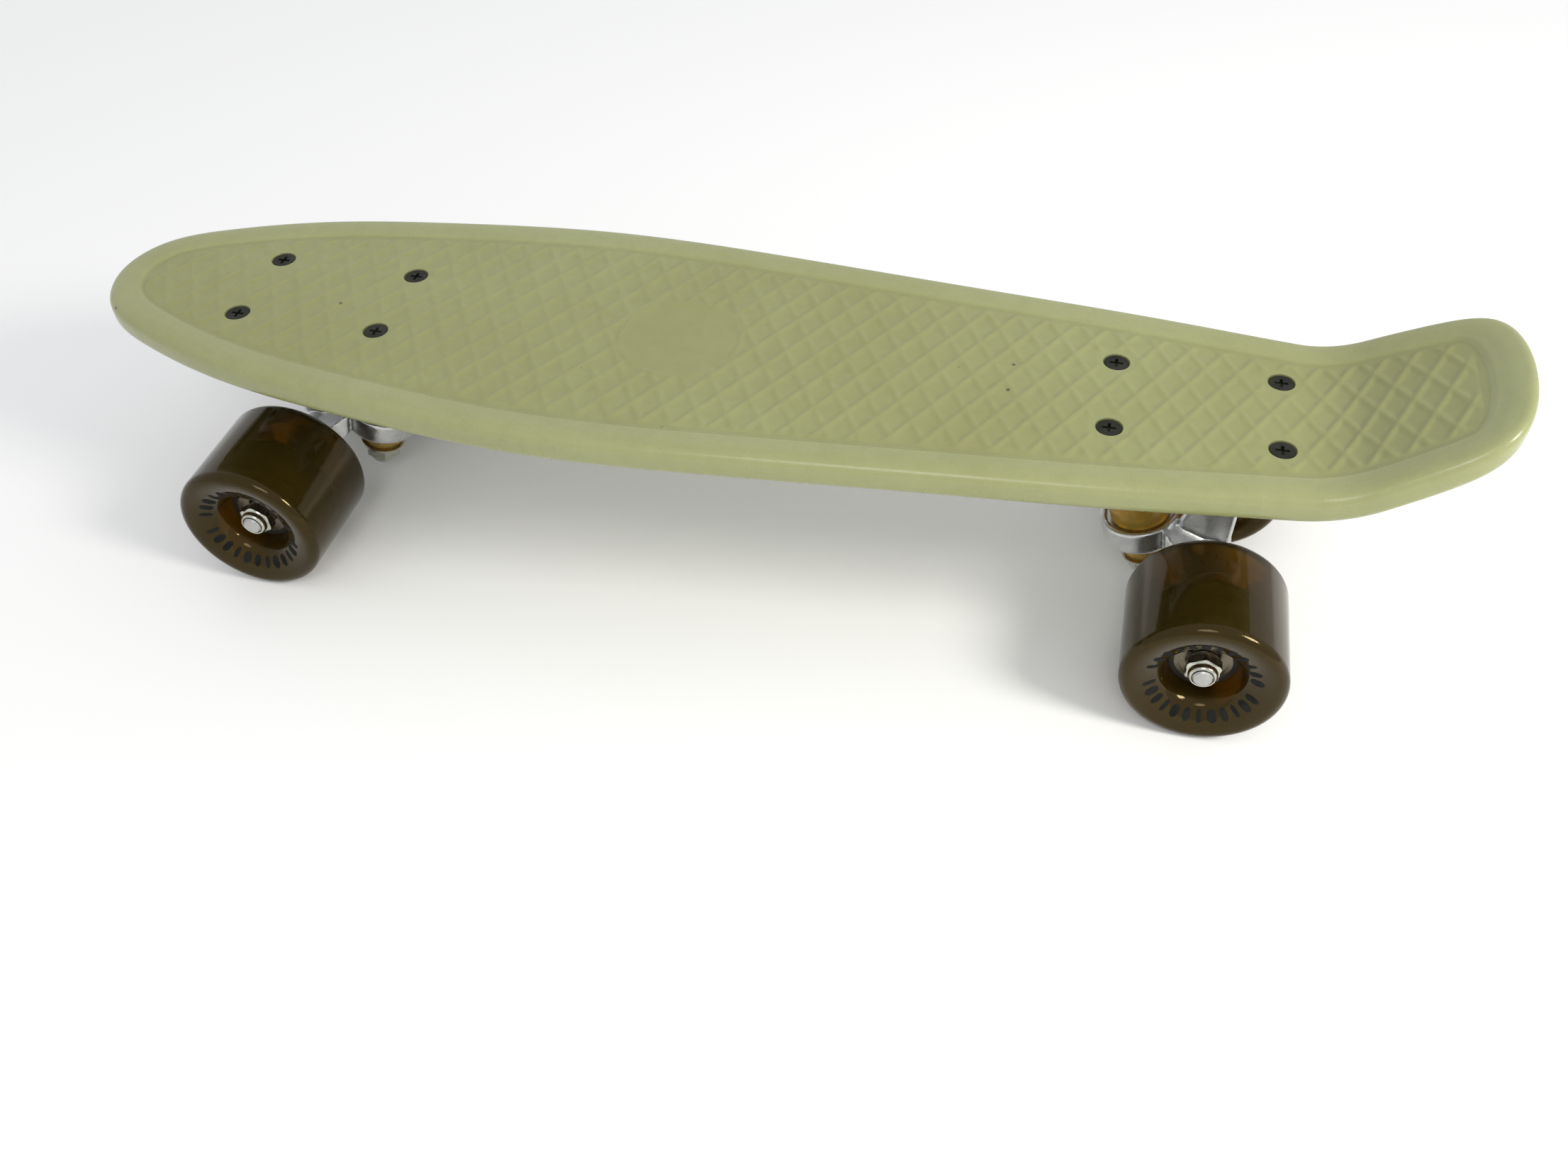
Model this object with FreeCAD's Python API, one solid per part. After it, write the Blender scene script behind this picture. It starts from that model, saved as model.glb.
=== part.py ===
"""Plastic cruiser skateboard: a moulded deck with a kicktail on two cast trucks with four cored wheels.

Units are millimetres. The frame's origin is on the ground, under the middle of the deck's length and
width. +X runs along the board towards the kicktail, -X towards the nose, +Z is up, and the board's
left side, seen by a rider who faces the nose, is -Y.
"""

import FreeCAD
import Part
import math
import os

V = FreeCAD.Vector

# ---------------------------------------------------------------- driving dimensions: deck
deck_length = 576.0
deck_width = 147.0
panel_z = 102.0  # height of the panel that the rider stands on
rim_rise = 1.2  # how far the smooth rim stands above that panel
rim_width = 14.0
edge_thickness = 12.6  # full depth of the rim
edge_round = 4.2
floor_thickness = 6.0  # plate between the rims
under_rim_width = 9.0
tail_bend_x = 215.0  # where the kicktail starts to rise
tail_bend_radius = 47.0
tail_angle = 31.0
pocket_nose_x = -262.0  # the hollow underneath runs between these two
pocket_tail_x = 212.0
rib_width = 3.0
rib_spacing = 18.0
medallion_x = -30.0  # smooth disc in the middle of the panel
medallion_radius = 25.0
medallion_rise = 0.4
# Half of the plan outline, nose to tail: share of the half length, share of the half width.
outline_shape = [
    (-0.969, 0.331),
    (-0.887, 0.541),
    (-0.752, 0.736),
    (-0.545, 0.891),
    (-0.281, 0.993),
    (-0.019, 0.953),
    (0.310, 0.841),
    (0.572, 0.748),
    (0.772, 0.656),
    (0.897, 0.601),
    (0.965, 0.501),
    (0.996, 0.216),
]

# ---------------------------------------------------------------- driving dimensions: trucks
front_truck_x = -188.0
rear_truck_x = 177.0
pad_depth = 14.0  # from the panel down to the face that a truck bolts to
pad_length = 92.0
pad_width = 62.0
pad_round = 8.0
bolt_spacing_x = 63.5
bolt_spacing_y = 41.3
bolt_radius = 2.4
bolt_clearance = 0.3
bolt_head_radius = 4.75
bolt_head_depth = 2.6
bolt_head_sink = 0.3
bolt_nut_flats = 9.5
bolt_nut_height = 5.0
bolt_tip = 1.5  # how far a bolt shows below its nut

axle_out = 18.0  # axle, outwards of the truck's bolt centre
axle_radius = 4.0
axle_tip_y = 76.8
hanger_width = 85.0
barrel_radius = 9.5
barrel_end_radius = 7.0
barrel_taper = 7.0
barrel_end = 3.0
arm_round = 2.0
plate_length = 84.0
plate_width = 58.0
plate_thickness = 5.5
plate_round = 9.0
web_width = 8.0  # web under the plate, between the two bosses
web_depth = 10.0

ring_out = -10.5  # centre of the hanger's ring, outwards and down from the bolt centre
ring_drop = 49.0
kingpin_lean = -15.0  # its nut sits nearer to the axle than its head does
kingpin_radius = 4.75
kingpin_head_flats = 14.3
kingpin_head_height = 6.0
kingpin_head_sink = 3.5
kingpin_nut_flats = 14.3
kingpin_nut_height = 9.5
kingpin_tip = 1.5
ring_radius = 16.5
ring_half = 4.0
ring_lip = 2.0
ring_lip_wall = 2.2
ring_hole_radius = 7.8
bushing_play = 0.3
upper_bushing_radius = 12.2
upper_bushing_height = 15.0
lower_bushing_radius = 12.2
lower_bushing_end_radius = 9.0
lower_bushing_height = 12.0
bushing_collar = 2.5
bushing_edge = 1.2
washer_thickness = 1.2
lower_washer_radius = 10.0

pivot_out = 31.0  # centre of the pivot's ball, outwards and down from the bolt centre
pivot_drop = 13.0
pivot_ball_radius = 5.8
pivot_play = 0.2
pivot_cup_wall = 2.6
pivot_cup_back = 8.0
pivot_cup_front = 3.0
pivot_boss_wall = 3.0
arm_width = 17.0  # hanger's arm, from the ring and the barrel up to the pivot
neck_radius = 5.2
neck_reach = 10.0  # from the ball to the top of the arm
kingpin_boss_wall = 1.0
kingpin_boss_foot_radius = 16.2

# ---------------------------------------------------------------- driving dimensions: wheels
wheel_radius = 31.5
wheel_width = 51.0
wheel_lip_radius = 4.0
wheel_face_step = 3.0  # flat between the lip and the dished face
wheel_dish = 4.5  # depth of that face where it meets the well round the bearing
wheel_well_slope = 3.0  # how much wider the well is at its mouth
core_wall = 5.5  # between the bearing's seat and the outside of the core
core_chamfer = 3.5
bearing_radius = 11.0
bearing_bore = 4.0
bearing_width = 7.0
bearing_gap = 10.0  # between a wheel's two bearings
bearing_shoulder_radius = 9.0
race_thickness = 1.5
inner_race_thickness = 2.1
ball_radius = 1.984
ball_count = 7
ball_play = 0.06
cage_thickness = 0.9
cage_half_width = 2.5
shield_thickness = 0.35
shield_set_in = 0.35
shield_play = 0.25
shaft_play = 0.02
speed_washer_thickness = 1.0
speed_washer_radius = 6.2
axle_nut_flats = 13.0
axle_nut_height = 7.6
spacer_radius = 5.6

# ---------------------------------------------------------------- places that follow from these
pad_z = panel_z - pad_depth
axle_drop = pad_z - wheel_radius
rim_z = panel_z + rim_rise
core_radius = bearing_radius + core_wall
core_half = bearing_gap / 2 + bearing_width
hanger_half = hanger_width / 2
wheel_y = hanger_half + speed_washer_thickness + core_half
ring_centre = V(ring_out, 0, -ring_drop)
pivot_centre = V(pivot_out, 0, -pivot_drop)
bolt_places = [(sx * bolt_spacing_x / 2, sy * bolt_spacing_y / 2) for sx in (-1, 1) for sy in (-1, 1)]
far = 400.0  # larger than any feature that a cutting block has to cover

# Kingpin frame: origin at the ring's centre, +Z up along the kingpin.
kingpin_frame = FreeCAD.Placement(ring_centre, FreeCAD.Rotation(V(0, 1, 0), kingpin_lean))
# Pivot frame: origin at the ball, +Z towards the ring's centre. The hanger turns about this axis.
pivot_frame = FreeCAD.Placement(pivot_centre, FreeCAD.Rotation(V(0, 0, 1), ring_centre - pivot_centre))
# Wheel frame: +Z along the axle.
along_y = FreeCAD.Placement(V(0, 0, 0), FreeCAD.Rotation(V(0, 0, 1), V(0, 1, 0)))

seat_height = ring_half + upper_bushing_height + washer_thickness
lower_washer_top = -(ring_half + lower_bushing_height)
kingpin_nut_top = lower_washer_top - washer_thickness
kingpin_nut_bottom = kingpin_nut_top - kingpin_nut_height
kingpin_head_top = ring_drop / math.cos(math.radians(kingpin_lean)) - kingpin_head_sink


# ---------------------------------------------------------------- small helpers
def cylinder(radius, low, high, x=0.0, y=0.0):
    return Part.makeCylinder(radius, high - low, V(x, y, low))


def tube(outer, inner, low, high):
    return cylinder(outer, low, high).cut(cylinder(inner, low - 1, high + 1))


def cone(low_radius, high_radius, low, high):
    return Part.makeCone(low_radius, high_radius, high - low, V(0, 0, low))


def block(x0, x1, y0, y1, z0, z1):
    return Part.makeBox(x1 - x0, y1 - y0, z1 - z0, V(x0, y0, z0))


def rounded_plate(length, width, radius, low, high):
    plate = block(-length / 2, length / 2, -width / 2, width / 2, low, high)
    upright = [e for e in plate.Edges if abs(e.Vertexes[0].Z - e.Vertexes[1].Z) > 0.5]
    return plate.makeFillet(radius, upright)


def extruded(points, direction):
    wire = Part.makePolygon(points + [points[0]])
    return Part.Face(wire).extrude(direction)


def revolved(points):
    """Solid of revolution about Z from (radius, z) points."""
    wire = Part.makePolygon([V(r, 0, z) for r, z in points + [points[0]]])
    return Part.Face(wire).revolve(V(0, 0, 0), V(0, 0, 1), 360)


def hexagon(flats, low, high):
    corner = flats / math.sqrt(3)
    angles = [math.radians(60 * i) for i in range(6)]
    return extruded([V(corner * math.cos(a), corner * math.sin(a), low) for a in angles], V(0, 0, high - low))


def bevelled_hexagon(flats, low, high):
    """Hexagon whose corners are turned down at both ends, as on a nut or bolt head."""
    corner = flats / math.sqrt(3)
    drop = (corner - flats / 2) * 0.6
    turned = revolved([(0, low), (flats / 2, low), (corner, low + drop), (corner, high - drop),
                       (flats / 2, high), (0, high)])
    return hexagon(flats, low, high).common(turned)


def lock_nut(flats, height, bore, low, up=True):
    """Nut with a plain collar for its locking insert. The collar is at the top, or at the bottom."""
    collar = height * 0.28
    high = low + height
    if up:
        nut = bevelled_hexagon(flats, low, high - collar)
        nut = nut.fuse(cone(flats * 0.47, flats * 0.40, high - collar, high))
    else:
        nut = bevelled_hexagon(flats, low + collar, high)
        nut = nut.fuse(cone(flats * 0.40, flats * 0.47, low, low + collar))
    return nut.cut(cylinder(bore, low - 1, high + 1))


def placed(shape, placement):
    moved = shape.copy()
    moved.Placement = placement.multiply(moved.Placement)
    return moved


def at_truck(shape, end):
    """Moves a shape from a truck's own frame, +X outwards, to the front or rear of the board."""
    if end == "front":
        return placed(shape, FreeCAD.Placement(V(front_truck_x, 0, pad_z), FreeCAD.Rotation(V(0, 0, 1), 180)))
    return placed(shape, FreeCAD.Placement(V(rear_truck_x, 0, pad_z), FreeCAD.Rotation()))


def at_wheel(shape, end, side):
    """Moves a shape from a wheel's own frame, +Z outwards along the axle, to its corner."""
    out = 1 if side == "right" else -1
    turn = FreeCAD.Rotation(V(0, 0, 1), V(0, out, 0))
    x = front_truck_x - axle_out if end == "front" else rear_truck_x + axle_out
    return placed(shape, FreeCAD.Placement(V(x, out * wheel_y, wheel_radius), turn))


def solids_of(shape):
    return [s for s in shape.Solids]


# ---------------------------------------------------------------- deck
def outline_wire(inset):
    """The plan outline as one closed smooth curve, moved inwards by inset."""
    half_length, half_width = deck_length / 2, deck_width / 2
    side = [V(a * half_length, b * half_width, 0) for a, b in outline_shape]
    points = [V(-half_length, 0, 0)] + side + [V(half_length, 0, 0)]
    points += [V(p.x, -p.y, 0) for p in reversed(side)]
    curve = Part.BSplineCurve()
    curve.interpolate(points, PeriodicFlag=True)
    if inset:
        first, last = curve.FirstParameter, curve.LastParameter
        count = 4 * len(outline_shape)
        moved = []
        for i in range(count):
            u = first + (last - first) * i / count
            tangent = curve.tangent(u)[0]
            inwards = V(tangent.y, -tangent.x, 0)
            moved.append(curve.value(u) + inwards * inset)
        curve = Part.BSplineCurve()
        curve.interpolate(moved, PeriodicFlag=True)
    return Part.Wire([curve.toShape()])


def prism(inset):
    face = Part.Face(outline_wire(inset))
    face.translate(V(0, 0, -far / 2))
    return face.extrude(V(0, 0, far))


def level_points(height):
    """Side view of a surface that lies height above the panel: bend start, middle, end and tail end."""
    radius = tail_bend_radius - height
    centre = V(tail_bend_x, 0, panel_z + tail_bend_radius)
    def on_arc(angle):
        a = math.radians(angle)
        return centre + V(radius * math.sin(a), 0, -radius * math.cos(a))
    end = on_arc(tail_angle)
    a = math.radians(tail_angle)
    run = deck_length / 2
    return on_arc(0), on_arc(tail_angle / 2), end, end + V(run * math.cos(a), 0, run * math.sin(a))


def slab(low, high):
    """Everything between two heights over the panel, following the kicktail, wider than the deck."""
    nose_x = -deck_length
    l0, l1, l2, l3 = level_points(low)
    h0, h1, h2, h3 = level_points(high)
    edges = [
        Part.LineSegment(V(nose_x, 0, l0.z), l0),
        Part.Arc(l0, l1, l2),
        Part.LineSegment(l2, l3),
        Part.LineSegment(l3, h3),
        Part.LineSegment(h3, h2),
        Part.Arc(h2, h1, h0),
        Part.LineSegment(h0, V(nose_x, 0, h0.z)),
        Part.LineSegment(V(nose_x, 0, h0.z), V(nose_x, 0, l0.z)),
    ]
    face = Part.Face(Part.Wire([e.toShape() for e in edges]))
    face.translate(V(0, -deck_width, 0))
    return face.extrude(V(0, 2 * deck_width, 0))


def make_deck():
    rim_bottom = rim_rise - edge_thickness
    deck = prism(0).common(slab(rim_bottom, rim_rise))
    long_edges = [e for e in deck.Edges if not is_upright(e)]
    deck = deck.makeFillet(edge_round, long_edges)
    panel = prism(rim_width).common(slab(0, rim_rise + 1))
    deck = deck.cut(panel)
    hollow = prism(under_rim_width + edge_round).common(slab(rim_bottom - 1, -floor_thickness))
    hollow = hollow.common(block(pocket_nose_x, pocket_tail_x, -far, far, -far, far))
    for x in (front_truck_x, rear_truck_x):
        pad = rounded_plate(pad_length, pad_width, pad_round, pad_z, panel_z - floor_thickness)
        pad.translate(V(x, 0, 0))
        hollow = hollow.cut(pad)
    rib_from, rib_to = front_truck_x + pad_length / 2 - 1, rear_truck_x - pad_length / 2 + 1
    rib_low = panel_z + rim_bottom
    for i in (-1, 0, 1):
        y = i * rib_spacing
        rib = block(rib_from, rib_to, y - rib_width / 2, y + rib_width / 2, rib_low, panel_z)
        hollow = hollow.cut(rib)
    deck = deck.cut(hollow)
    medallion = cylinder(medallion_radius, panel_z - 1, panel_z + medallion_rise, medallion_x)
    deck = deck.fuse(medallion)
    for x in (front_truck_x, rear_truck_x):
        pad = rounded_plate(pad_length, pad_width, pad_round, pad_z, panel_z - floor_thickness)
        pad.translate(V(x, 0, 0))
        deck = deck.fuse(pad)
        for bx, by in bolt_places:
            deck = deck.cut(bolt_hole().translated(V(x + bx, by, 0)))
    return deck.removeSplitter()


def is_upright(edge):
    """True for a short edge that joins the rim's top to its bottom."""
    a, b = edge.Vertexes[0].Point, edge.Vertexes[-1].Point
    return abs(a.x - b.x) < 1e-3 and abs(a.y - b.y) < 1e-3 and abs(a.z - b.z) > 1


def bolt_hole():
    hole = cylinder(bolt_radius + bolt_clearance, 0, panel_z + rim_rise)
    head_low = panel_z - bolt_head_sink - bolt_head_depth
    seat = cone(bolt_radius + bolt_clearance, bolt_head_radius + bolt_clearance, head_low, panel_z - bolt_head_sink)
    mouth = cylinder(bolt_head_radius + bolt_clearance, panel_z - bolt_head_sink, panel_z + rim_rise)
    return hole.fuse(seat).fuse(mouth)


def make_bolt():
    """Countersunk bolt with a cross recess, standing where its hole is, top down from the panel."""
    top = panel_z - bolt_head_sink
    low = pad_z - plate_thickness - bolt_nut_height - bolt_tip
    bolt = cylinder(bolt_radius, low, top - bolt_head_depth)
    bolt = bolt.fuse(cone(bolt_radius, bolt_head_radius, top - bolt_head_depth, top))
    slot = bolt_head_radius * 0.55
    cross = block(-slot, slot, -0.6, 0.6, top - 1.3, top + 1).fuse(block(-0.6, 0.6, -slot, slot, top - 1.3, top + 1))
    return bolt.cut(cross).removeSplitter()


def make_bolt_nut():
    low = pad_z - plate_thickness - bolt_nut_height
    return lock_nut(bolt_nut_flats, bolt_nut_height, bolt_radius, low, up=False)


def all_bolts(piece):
    return Part.makeCompound(
        [piece.translated(V(x + bx, by, 0)) for x in (front_truck_x, rear_truck_x) for bx, by in bolt_places]
    )


# ---------------------------------------------------------------- truck, in its own frame
def make_baseplate():
    plate = rounded_plate(plate_length, plate_width, plate_round, -plate_thickness, 0)
    boss_top = ring_drop * 1.2
    kingpin_boss = cone(upper_bushing_radius + kingpin_boss_wall, kingpin_boss_foot_radius, seat_height, boss_top)
    kingpin_boss = placed(kingpin_boss, kingpin_frame)
    cup_radius = pivot_ball_radius + pivot_play + pivot_cup_wall
    boss_radius = cup_radius + pivot_boss_wall
    pivot_boss = placed(cylinder(boss_radius, -plate_length / 2, pivot_cup_front - 0.5), pivot_frame)
    web = block(0, pivot_out, -web_width / 2, web_width / 2, -web_depth, 0)
    base = plate.fuse([kingpin_boss, pivot_boss, web])
    base = base.cut(block(-far, far, -far, far, 0, far))
    base = base.cut(block(plate_length / 2, far, -far, far, -far, far))
    base = base.cut(placed(cylinder(cup_radius, -pivot_cup_back, ring_drop), pivot_frame))
    bore = cylinder(kingpin_radius + bushing_play / 3, 0, kingpin_head_top)
    head_pocket = cylinder(kingpin_head_flats / math.sqrt(3) + 0.6, kingpin_head_top - kingpin_head_height, far)
    base = base.cut(placed(bore.fuse(head_pocket), kingpin_frame))
    for bx, by in bolt_places:
        base = base.cut(cylinder(bolt_radius + bolt_clearance, -ring_drop, 1, bx, by))
    return base.removeSplitter()


def make_pivot_cup():
    radius = pivot_ball_radius + pivot_play
    cup = cylinder(radius + pivot_cup_wall, -pivot_cup_back, pivot_cup_front)
    cup = cup.cut(Part.makeSphere(radius)).cut(cylinder(radius, 0, far))
    return placed(cup, pivot_frame)


def make_kingpin():
    low = kingpin_nut_bottom - kingpin_tip
    pin = cylinder(kingpin_radius, low, kingpin_head_top)
    head = bevelled_hexagon(kingpin_head_flats, kingpin_head_top - kingpin_head_height, kingpin_head_top)
    return placed(pin.fuse(head).removeSplitter(), kingpin_frame)


def make_kingpin_nut():
    nut = lock_nut(kingpin_nut_flats, kingpin_nut_height, kingpin_radius, kingpin_nut_bottom, up=False)
    return placed(nut, kingpin_frame)


def make_upper_bushing():
    low, high = ring_half, ring_half + upper_bushing_height
    inner, outer, edge = kingpin_radius + bushing_play / 2, upper_bushing_radius, bushing_edge
    collar = ring_hole_radius - bushing_play
    shape = revolved([(inner, low - bushing_collar), (collar, low - bushing_collar), (collar, low),
                      (outer - edge, low), (outer, low + edge), (outer, high - edge), (outer - edge, high),
                      (inner, high)])
    return placed(shape, kingpin_frame)


def make_lower_bushing():
    high = -ring_half
    low = high - lower_bushing_height
    inner, edge = kingpin_radius + bushing_play / 2, bushing_edge
    collar = ring_hole_radius - bushing_play
    shape = revolved([(inner, low), (lower_bushing_end_radius - edge, low), (lower_bushing_end_radius, low + edge),
                      (lower_bushing_radius, high - edge), (lower_bushing_radius - edge, high),
                      (collar, high), (collar, high + bushing_collar), (inner, high + bushing_collar)])
    return placed(shape, kingpin_frame)


def make_cup_washers():
    bore = kingpin_radius + bushing_play / 3
    upper = tube(upper_bushing_radius, bore, seat_height - washer_thickness, seat_height)
    lower = tube(lower_washer_radius, bore, lower_washer_top - washer_thickness, lower_washer_top)
    return Part.makeCompound([placed(upper, kingpin_frame), placed(lower, kingpin_frame)])


def make_ring():
    """The hanger's ring, in the kingpin frame, with a lip that holds the upper bushing."""
    lip_top = ring_half + ring_lip
    recess = ring_radius - ring_lip_wall
    return revolved([(ring_hole_radius, -ring_half), (recess, -ring_half), (recess, -ring_half - ring_lip / 2),
                     (ring_radius - 0.6, -ring_half - ring_lip / 2), (ring_radius, -ring_half),
                     (ring_radius, lip_top - 0.6), (ring_radius - 0.6, lip_top), (recess, lip_top),
                     (recess, ring_half), (ring_hole_radius, ring_half)])


def make_barrel():
    """The hanger's round bar along the axle, tapered to the flat ends that the wheels stop at."""
    taper_from, taper_to = hanger_half - barrel_taper - barrel_end, hanger_half - barrel_end
    shape = revolved([(0, -hanger_half), (barrel_end_radius, -hanger_half), (barrel_end_radius, -taper_to),
                      (barrel_radius, -taper_from), (barrel_radius, taper_from), (barrel_end_radius, taper_to),
                      (barrel_end_radius, hanger_half), (0, hanger_half)])
    return placed(shape, along_y)


def make_hanger():
    ring = placed(make_ring(), kingpin_frame)
    axle = V(axle_out, 0, -axle_drop)
    barrel = make_barrel()
    barrel.translate(axle)

    a = math.radians(kingpin_lean)
    across, up = V(math.cos(a), 0, -math.sin(a)), V(math.sin(a), 0, math.cos(a))
    ring_top = ring_centre + across * ring_radius + up * (ring_half + ring_lip)
    ring_low = ring_centre + across * (ring_radius - 1) - up * ring_half

    # Arm: rises from the barrel and the ring's outer side to the pivot.
    to_ring = (ring_centre - pivot_centre).normalize()
    square = V(-to_ring.z, 0, to_ring.x)
    neck = pivot_centre + to_ring * neck_reach
    outer_x = axle.x + barrel_radius - 2
    arm = extruded(
        [p + V(0, -arm_width / 2, 0) for p in (
            ring_top - across, ring_top + across * 4 + up * 7, neck - square * neck_radius,
            neck + square * neck_radius, V(outer_x, 0, neck.z - 8), V(outer_x, 0, axle.z), axle, ring_low)],
        V(0, arm_width, 0))
    corners = [e for e in arm.Edges if abs(e.Vertexes[0].Y - e.Vertexes[1].Y) < 0.01]
    arm = arm.makeFillet(arm_round, corners)
    nose = cone(pivot_ball_radius - 0.9, neck_radius, 2.5, neck_reach + 2).fuse(Part.makeSphere(pivot_ball_radius))
    nose = placed(nose, pivot_frame)

    # Wings: a wedge from the ring out to both ends of the barrel.
    side = extruded([p + V(0, -hanger_width, 0) for p in (
        ring_top - across * 6, axle + V(-2, 0, barrel_radius - 0.5), axle + V(4, 0, 0),
        axle + V(-2, 0, 0.5 - barrel_radius), ring_low - across * 6)], V(0, 2 * hanger_width, 0))
    foot = ring_centre.x + ring_radius * 0.45
    tip_y = hanger_half - barrel_taper - barrel_end - 1
    corner = V(foot, ring_radius * 0.85, -ring_drop * 2)
    half = [corner, V(axle.x - barrel_radius * 0.7, tip_y, corner.z), V(axle.x + 4, tip_y, corner.z)]
    plan = extruded(half + [V(p.x, -p.y, p.z) for p in reversed(half)], V(0, 0, ring_drop * 2))
    wings = side.common(plan)

    inside = ring_radius - ring_lip_wall
    keep_out = cylinder(inside, ring_half, ring_half + upper_bushing_height * 0.6)
    keep_out = keep_out.fuse(cylinder(inside, -ring_drop, -ring_half))
    keep_out = keep_out.fuse(cylinder(ring_hole_radius, -ring_half - 1, ring_half + 1))
    keep_out = placed(keep_out, kingpin_frame)
    bore = placed(cylinder(axle_radius, -hanger_width, hanger_width), along_y)
    bore.translate(axle)
    hanger = ring.fuse([wings, arm]).cut(keep_out)
    return hanger.fuse([barrel, nose]).cut(bore).removeSplitter()


def make_axle():
    axle = cylinder(axle_radius, -axle_tip_y, axle_tip_y)
    ends = [e for e in axle.Edges if e.Curve.TypeId == "Part::GeomCircle"]
    axle = placed(axle.makeChamfer(0.6, ends), along_y)
    axle.translate(V(axle_out, 0, -axle_drop))
    return axle


# ---------------------------------------------------------------- wheel, in its own frame
def core_outline():
    """Half section of the core's outside, from the lower face to the upper one, as (radius, z)."""
    rim = core_radius - core_chamfer
    return [(rim, -core_half), (core_radius, -core_half + core_chamfer), (core_radius, core_half - core_chamfer),
            (rim, core_half)]


def make_core():
    seat, shoulder = bearing_radius, bearing_shoulder_radius
    step = bearing_gap / 2
    shape = core_outline() + [(seat, core_half), (seat, step), (shoulder, step), (shoulder, -step), (seat, -step),
                              (seat, -core_half)]
    return revolved(shape)


def make_wheel():
    """Cast tyre of the wheel: a flat tread, round lips and dished faces down to the core."""
    half, lip = wheel_width / 2, wheel_lip_radius
    flat = half - lip
    low = lip * (1 - math.sin(math.radians(45)))
    face_r = wheel_radius - lip
    rim = core_radius - core_chamfer
    well = rim + wheel_well_slope
    dish = half - wheel_dish
    def p(r, z):
        return V(r, 0, z)
    edges = [Part.LineSegment(p(wheel_radius, -flat), p(wheel_radius, flat)),
             Part.Arc(p(wheel_radius, flat), p(wheel_radius - low, half - low), p(face_r, half)),
             Part.LineSegment(p(face_r, half), p(face_r - wheel_face_step, half)),
             Part.LineSegment(p(face_r - wheel_face_step, half), p(well, dish)),
             Part.LineSegment(p(well, dish), p(rim, core_half))]
    core = [p(r, z) for r, z in reversed(core_outline())]
    edges += [Part.LineSegment(a, b) for a, b in zip(core, core[1:])]
    edges += [Part.LineSegment(p(rim, -core_half), p(well, -dish)),
              Part.LineSegment(p(well, -dish), p(face_r - wheel_face_step, -half)),
              Part.LineSegment(p(face_r - wheel_face_step, -half), p(face_r, -half)),
              Part.Arc(p(face_r, -half), p(wheel_radius - low, -half + low), p(wheel_radius, -flat))]
    face = Part.Face(Part.Wire([e.toShape() for e in edges]))
    return face.revolve(V(0, 0, 0), V(0, 0, 1), 360)


def pair(piece):
    """A bearing piece, made at z 0, at both of a wheel's bearings."""
    z = bearing_gap / 2 + bearing_width / 2
    return Part.makeCompound([piece.translated(V(0, 0, z)), piece.translated(V(0, 0, -z))])


def pitch_radius():
    return (bearing_radius - race_thickness + bearing_bore + inner_race_thickness) / 2


def groove():
    return Part.makeTorus(pitch_radius(), ball_radius + ball_play)


def make_outer_races():
    half = bearing_width / 2
    ring = tube(bearing_radius, bearing_radius - race_thickness, -half, half)
    return pair(ring.cut(groove()))


def make_inner_races():
    half = bearing_width / 2
    ring = tube(bearing_bore + inner_race_thickness, bearing_bore + shaft_play, -half, half)
    return pair(ring.cut(groove()))


def ball_centres():
    turns = [2 * math.pi * i / ball_count for i in range(ball_count)]
    return [V(pitch_radius() * math.cos(t), pitch_radius() * math.sin(t), 0) for t in turns]


def make_balls():
    balls = [Part.makeSphere(ball_radius, c) for c in ball_centres()]
    return pair(Part.makeCompound(balls))


def make_cages():
    mid = pitch_radius()
    cage = tube(mid + cage_thickness / 2, mid - cage_thickness / 2, -cage_half_width, cage_half_width)
    for c in ball_centres():
        pocket = Part.makeCylinder(ball_radius + ball_play, mid, V(0, 0, 0), c)
        pocket.translate(c * 0.5)
        cage = cage.cut(pocket)
    return pair(cage)


def make_shields():
    half = bearing_width / 2
    inner = bearing_bore + inner_race_thickness + shield_play
    ring = tube(bearing_radius - race_thickness, inner, half - shield_set_in - shield_thickness, half - shield_set_in)
    other = ring.mirror(V(0, 0, 0), V(0, 0, 1))
    return pair(Part.makeCompound([ring, other]))


def make_spacer():
    return tube(spacer_radius, bearing_bore + shaft_play, -bearing_gap / 2, bearing_gap / 2)


def make_speed_washers():
    outer = tube(speed_washer_radius, bearing_bore + shaft_play, core_half, core_half + speed_washer_thickness)
    inner = tube(speed_washer_radius, bearing_bore + shaft_play, -core_half - speed_washer_thickness, -core_half)
    return Part.makeCompound([outer, inner])


def make_axle_nut():
    return lock_nut(axle_nut_flats, axle_nut_height, bearing_bore, core_half + speed_washer_thickness)


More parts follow.
